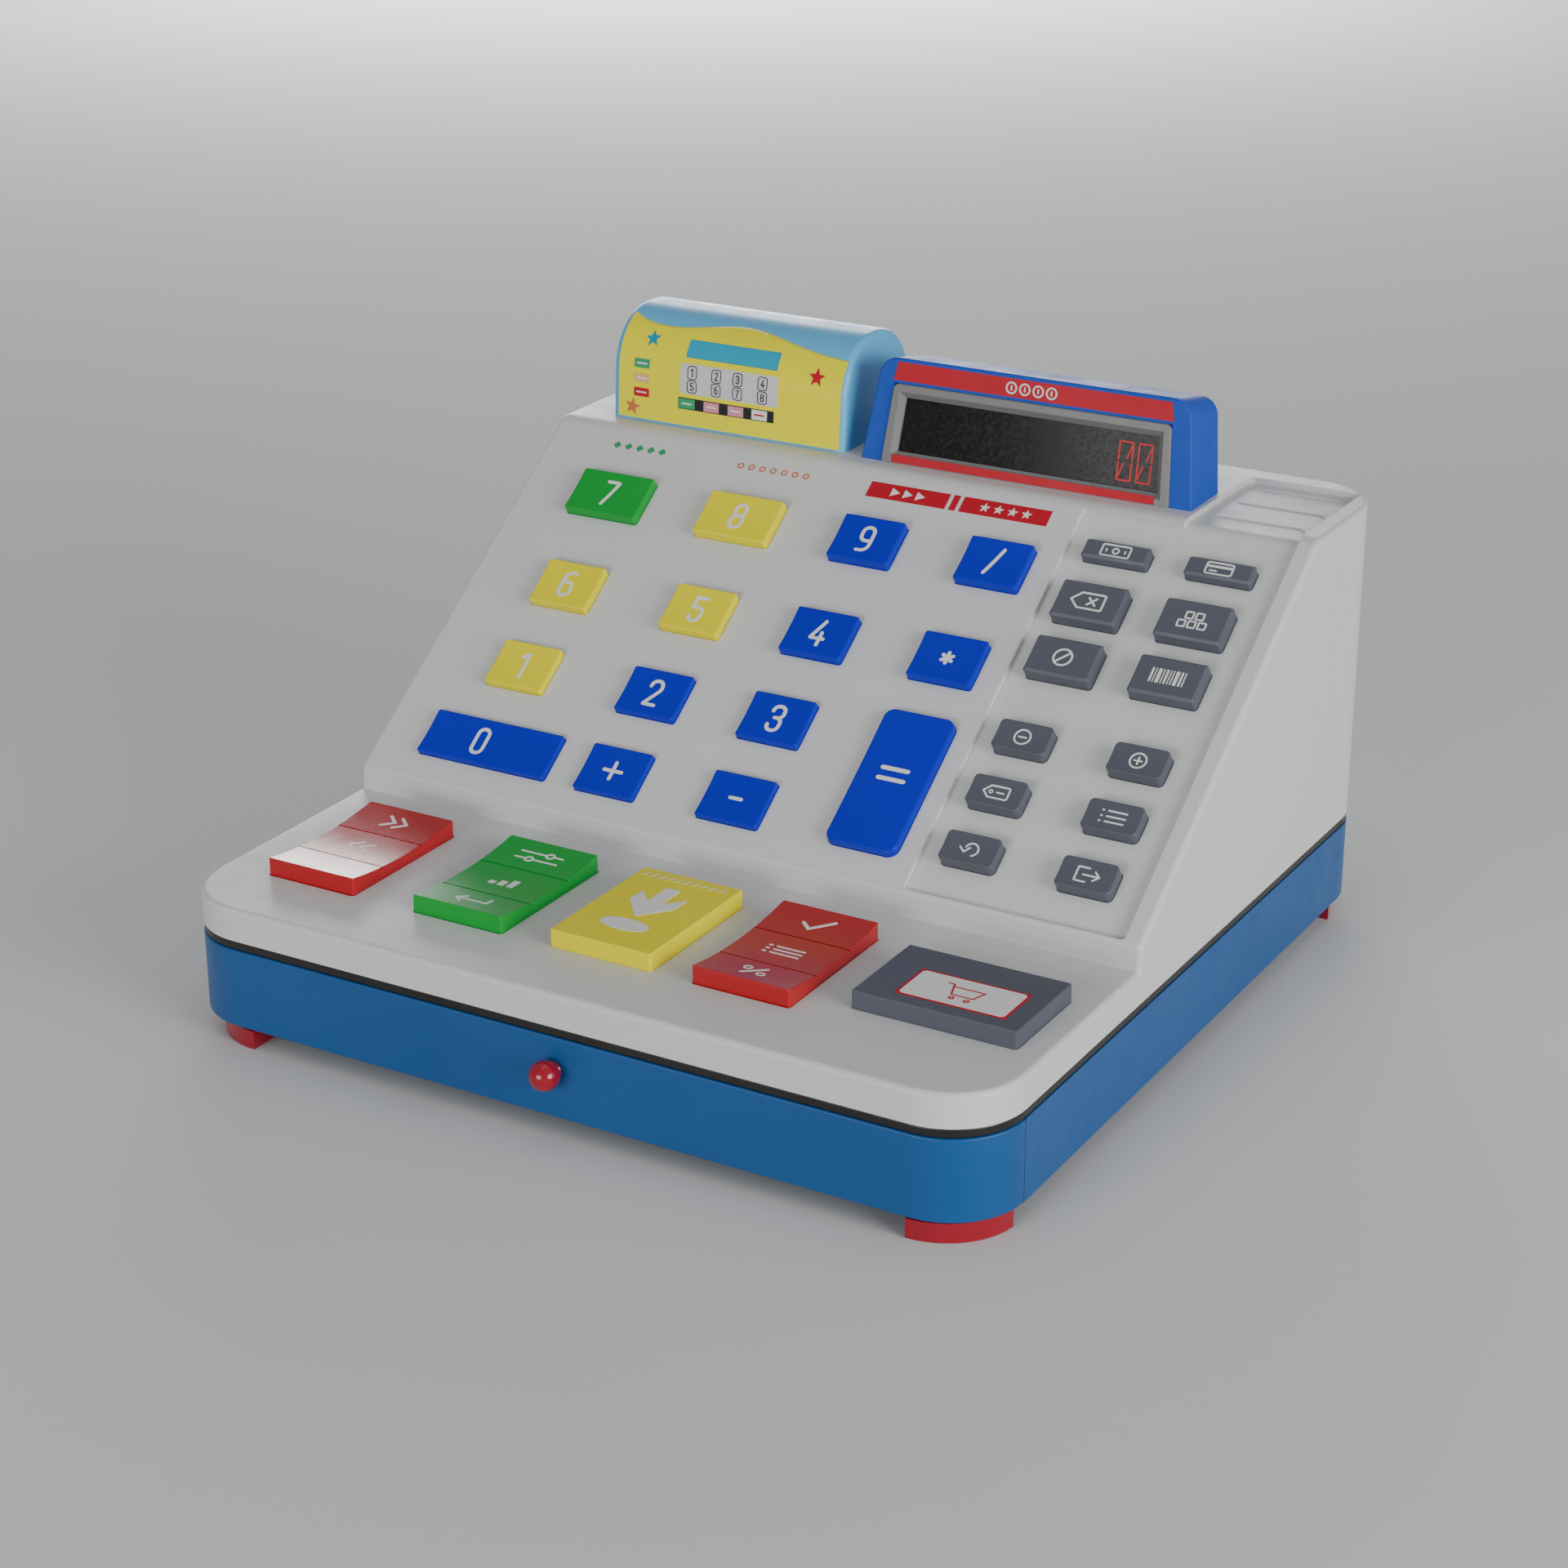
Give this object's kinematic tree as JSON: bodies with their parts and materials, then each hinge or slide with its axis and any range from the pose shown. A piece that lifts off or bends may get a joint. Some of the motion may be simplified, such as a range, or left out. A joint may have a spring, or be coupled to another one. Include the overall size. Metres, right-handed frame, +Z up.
{
  "type": "toy cash register",
  "caption": "Toy cash register with a sliding drawer, a sloped pad of push keys, rocking keys on a front deck, a leaning price display and a small card terminal.",
  "frame": {"origin": "middle of the overall box, where the feet stand", "axes": "+X to the right and -Y to the front as the user faces the keys, +Z up"},
  "size_m": [0.28, 0.289, 0.1783],
  "materials": {
    "blue_plastic": "moulded, soft gloss",
    "white_plastic": "moulded, satin",
    "red_plastic": "moulded, gloss",
    "grey_nylon": "moulded, matt",
    "black_gasket": "smooth bead",
    "screw_steel": "zinc plated",
    "grey_rubber": "silicone",
    "circuit_board": "solder mask",
    "black_plastic": "moulded",
    "cell_can": "printed sleeve",
    "contact_steel": "nickel plated",
    "royal_blue_plastic": "moulded, satin",
    "grey_plastic": "moulded, satin",
    "smoked_window": "clear gloss",
    "sky_blue_plastic": "moulded, satin",
    "yellow_plastic": "printed plate",
    "screen_cyan": "printed",
    "blue_key": "moulded, gloss",
    "green_key": "moulded, gloss",
    "yellow_key": "moulded, gloss",
    "red_key": "moulded, gloss",
    "slate_key": "moulded, satin"
  },
  "bodies": {
    "base": {"base_tray": "blue_plastic", "feet": "red_plastic", "drawer_runners": "grey_nylon", "seam_gasket": "black_gasket", "main_housing": "white_plastic", "floor_plate": "grey_nylon", "housing_screws": "screw_steel", "keypad_membrane": "grey_rubber", "keypad_board": "circuit_board", "deck_membrane": "grey_rubber", "deck_board": "circuit_board", "main_board": "circuit_board", "speaker": "black_plastic", "battery_holder": "black_plastic", "battery_cells": "cell_can", "battery_contacts": "contact_steel", "battery_cover": "white_plastic", "display_housing": "royal_blue_plastic", "display_bezel": "grey_plastic", "display_window": "smoked_window", "display_module": "black_plastic", "terminal_housing": "sky_blue_plastic", "terminal_faceplate": "yellow_plastic", "terminal_screen": "screen_cyan"},
    "drawer": {"drawer_front": "blue_plastic", "cash_drawer": "blue_plastic", "drawer_knob": "red_plastic", "drawer_screws": "screw_steel"},
    "key_rocker_red_left": {"key_rocker_red_left": "red_key"},
    "key_rocker_green": {"key_rocker_green": "green_key"},
    "key_rocker_red_right": {"key_rocker_red_right": "red_key"},
    "key_receipt": {"key_receipt": "yellow_key"},
    "key_checkout": {"key_checkout": "slate_key"},
    "key_7": {"key_7": "green_key"},
    "key_8": {"key_8": "yellow_key"},
    "key_9": {"key_9": "blue_key"},
    "key_divide": {"key_divide": "blue_key"},
    "key_6": {"key_6": "yellow_key"},
    "key_5": {"key_5": "yellow_key"},
    "key_4": {"key_4": "blue_key"},
    "key_multiply": {"key_multiply": "blue_key"},
    "key_1": {"key_1": "yellow_key"},
    "key_2": {"key_2": "blue_key"},
    "key_3": {"key_3": "blue_key"},
    "key_plus": {"key_plus": "blue_key"},
    "key_minus": {"key_minus": "blue_key"},
    "key_0": {"key_0": "blue_key"},
    "key_equals": {"key_equals": "blue_key"},
    "key_cash": {"key_cash": "slate_key"},
    "key_credit": {"key_credit": "slate_key"},
    "key_clear": {"key_clear": "slate_key"},
    "key_quantity": {"key_quantity": "slate_key"},
    "key_void": {"key_void": "slate_key"},
    "key_scan": {"key_scan": "slate_key"},
    "key_remove": {"key_remove": "slate_key"},
    "key_add": {"key_add": "slate_key"},
    "key_item": {"key_item": "slate_key"},
    "key_menu": {"key_menu": "slate_key"},
    "key_backup": {"key_backup": "slate_key"},
    "key_exit": {"key_exit": "slate_key"}
  },
  "joints": [
    {"name": "drawer_slide", "type": "slide", "parent": "base", "child": "drawer", "axis": [0, -1, 0], "range_m": [0, 0.15]},
    {"name": "rocker_red_left_tilt", "type": "hinge", "parent": "base", "child": "key_rocker_red_left", "pos_m": [-0.1059, -0.0831, 0.0417], "axis": [1, 0, 0], "range_deg": [-2.5, 2.5], "stiffness_Nm_per_rad": 0.16},
    {"name": "rocker_green_tilt", "type": "hinge", "parent": "base", "child": "key_rocker_green", "pos_m": [-0.0512, -0.0831, 0.0417], "axis": [1, 0, 0], "range_deg": [-2.5, 2.5], "stiffness_Nm_per_rad": 0.16},
    {"name": "rocker_red_right_tilt", "type": "hinge", "parent": "base", "child": "key_rocker_red_right", "pos_m": [0.0475, -0.0831, 0.0417], "axis": [1, 0, 0], "range_deg": [-2.5, 2.5], "stiffness_Nm_per_rad": 0.16},
    {"name": "receipt_press", "type": "slide", "parent": "base", "child": "key_receipt", "axis": [0, 0, -1], "range_m": [0, 0.0016], "stiffness_N_per_m": 250, "springref_m": -0.002},
    {"name": "checkout_press", "type": "slide", "parent": "base", "child": "key_checkout", "axis": [0, 0, -1], "range_m": [0, 0.0016], "stiffness_N_per_m": 250, "springref_m": -0.002},
    {"name": "key_7_press", "type": "slide", "parent": "base", "child": "key_7", "axis": [0, 0.5828, -0.8126], "range_m": [0, 0.0016], "stiffness_N_per_m": 250, "springref_m": -0.002},
    {"name": "key_8_press", "type": "slide", "parent": "base", "child": "key_8", "axis": [0, 0.5828, -0.8126], "range_m": [0, 0.0016], "stiffness_N_per_m": 250, "springref_m": -0.002},
    {"name": "key_9_press", "type": "slide", "parent": "base", "child": "key_9", "axis": [0, 0.5828, -0.8126], "range_m": [0, 0.0016], "stiffness_N_per_m": 250, "springref_m": -0.002},
    {"name": "key_divide_press", "type": "slide", "parent": "base", "child": "key_divide", "axis": [0, 0.5828, -0.8126], "range_m": [0, 0.0016], "stiffness_N_per_m": 250, "springref_m": -0.002},
    {"name": "key_6_press", "type": "slide", "parent": "base", "child": "key_6", "axis": [0, 0.5828, -0.8126], "range_m": [0, 0.0016], "stiffness_N_per_m": 250, "springref_m": -0.002},
    {"name": "key_5_press", "type": "slide", "parent": "base", "child": "key_5", "axis": [0, 0.5828, -0.8126], "range_m": [0, 0.0016], "stiffness_N_per_m": 250, "springref_m": -0.002},
    {"name": "key_4_press", "type": "slide", "parent": "base", "child": "key_4", "axis": [0, 0.5828, -0.8126], "range_m": [0, 0.0016], "stiffness_N_per_m": 250, "springref_m": -0.002},
    {"name": "key_multiply_press", "type": "slide", "parent": "base", "child": "key_multiply", "axis": [0, 0.5828, -0.8126], "range_m": [0, 0.0016], "stiffness_N_per_m": 250, "springref_m": -0.002},
    {"name": "key_1_press", "type": "slide", "parent": "base", "child": "key_1", "axis": [0, 0.5828, -0.8126], "range_m": [0, 0.0016], "stiffness_N_per_m": 250, "springref_m": -0.002},
    {"name": "key_2_press", "type": "slide", "parent": "base", "child": "key_2", "axis": [0, 0.5828, -0.8126], "range_m": [0, 0.0016], "stiffness_N_per_m": 250, "springref_m": -0.002},
    {"name": "key_3_press", "type": "slide", "parent": "base", "child": "key_3", "axis": [0, 0.5828, -0.8126], "range_m": [0, 0.0016], "stiffness_N_per_m": 250, "springref_m": -0.002},
    {"name": "key_plus_press", "type": "slide", "parent": "base", "child": "key_plus", "axis": [0, 0.5828, -0.8126], "range_m": [0, 0.0016], "stiffness_N_per_m": 250, "springref_m": -0.002},
    {"name": "key_minus_press", "type": "slide", "parent": "base", "child": "key_minus", "axis": [0, 0.5828, -0.8126], "range_m": [0, 0.0016], "stiffness_N_per_m": 250, "springref_m": -0.002},
    {"name": "key_0_press", "type": "slide", "parent": "base", "child": "key_0", "axis": [0, 0.5828, -0.8126], "range_m": [0, 0.0016], "stiffness_N_per_m": 250, "springref_m": -0.002},
    {"name": "key_equals_press", "type": "slide", "parent": "base", "child": "key_equals", "axis": [0, 0.5828, -0.8126], "range_m": [0, 0.0016], "stiffness_N_per_m": 250, "springref_m": -0.002},
    {"name": "key_cash_press", "type": "slide", "parent": "base", "child": "key_cash", "axis": [0, 0.5828, -0.8126], "range_m": [0, 0.0016], "stiffness_N_per_m": 250, "springref_m": -0.002},
    {"name": "key_credit_press", "type": "slide", "parent": "base", "child": "key_credit", "axis": [0, 0.5828, -0.8126], "range_m": [0, 0.0016], "stiffness_N_per_m": 250, "springref_m": -0.002},
    {"name": "key_clear_press", "type": "slide", "parent": "base", "child": "key_clear", "axis": [0, 0.5828, -0.8126], "range_m": [0, 0.0016], "stiffness_N_per_m": 250, "springref_m": -0.002},
    {"name": "key_quantity_press", "type": "slide", "parent": "base", "child": "key_quantity", "axis": [0, 0.5828, -0.8126], "range_m": [0, 0.0016], "stiffness_N_per_m": 250, "springref_m": -0.002},
    {"name": "key_void_press", "type": "slide", "parent": "base", "child": "key_void", "axis": [0, 0.5828, -0.8126], "range_m": [0, 0.0016], "stiffness_N_per_m": 250, "springref_m": -0.002},
    {"name": "key_scan_press", "type": "slide", "parent": "base", "child": "key_scan", "axis": [0, 0.5828, -0.8126], "range_m": [0, 0.0016], "stiffness_N_per_m": 250, "springref_m": -0.002},
    {"name": "key_remove_press", "type": "slide", "parent": "base", "child": "key_remove", "axis": [0, 0.5828, -0.8126], "range_m": [0, 0.0016], "stiffness_N_per_m": 250, "springref_m": -0.002},
    {"name": "key_add_press", "type": "slide", "parent": "base", "child": "key_add", "axis": [0, 0.5828, -0.8126], "range_m": [0, 0.0016], "stiffness_N_per_m": 250, "springref_m": -0.002},
    {"name": "key_item_press", "type": "slide", "parent": "base", "child": "key_item", "axis": [0, 0.5828, -0.8126], "range_m": [0, 0.0016], "stiffness_N_per_m": 250, "springref_m": -0.002},
    {"name": "key_menu_press", "type": "slide", "parent": "base", "child": "key_menu", "axis": [0, 0.5828, -0.8126], "range_m": [0, 0.0016], "stiffness_N_per_m": 250, "springref_m": -0.002},
    {"name": "key_backup_press", "type": "slide", "parent": "base", "child": "key_backup", "axis": [0, 0.5828, -0.8126], "range_m": [0, 0.0016], "stiffness_N_per_m": 250, "springref_m": -0.002},
    {"name": "key_exit_press", "type": "slide", "parent": "base", "child": "key_exit", "axis": [0, 0.5828, -0.8126], "range_m": [0, 0.0016], "stiffness_N_per_m": 250, "springref_m": -0.002}
  ]
}
